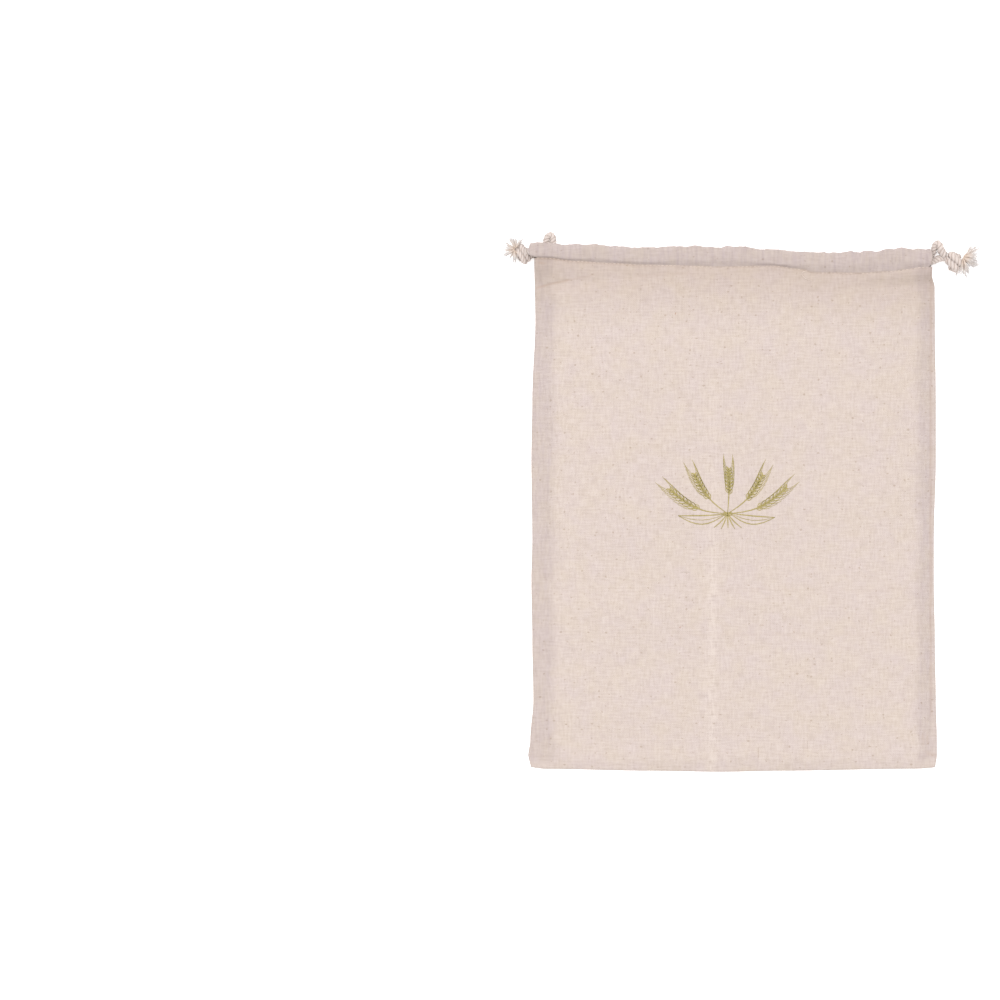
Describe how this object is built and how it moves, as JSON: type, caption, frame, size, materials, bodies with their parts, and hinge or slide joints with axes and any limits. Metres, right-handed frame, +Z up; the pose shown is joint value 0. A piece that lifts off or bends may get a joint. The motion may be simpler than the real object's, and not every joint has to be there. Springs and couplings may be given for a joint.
{
  "type": "linen bread bag",
  "caption": "Flat-lying drawstring bread bag of natural linen and cotton cloth, its mouth closed by two cotton drawcords run through channels and knotted at each side",
  "frame": {"origin": "on the surface that the bag lies on, under the middle of its cloth's box", "axes": "+X across the bag to the right seen from its printed side, +Y along it from the bottom fold to the mouth, +Z up from its back to its front"},
  "size_m": [0.3535, 0.4048, 0.0195],
  "materials": {
    "linen_cloth": "natural unbleached plain weave of linen and cotton, matt",
    "cotton_cord": "soft twisted undyed cotton, matt, frayed at its ends"
  },
  "bodies": {
    "root": {"bag_cloth": "linen_cloth", "left_drawcord": "cotton_cord", "right_drawcord": "cotton_cord", "left_knot": "cotton_cord", "right_knot": "cotton_cord"}
  },
  "joints": []
}
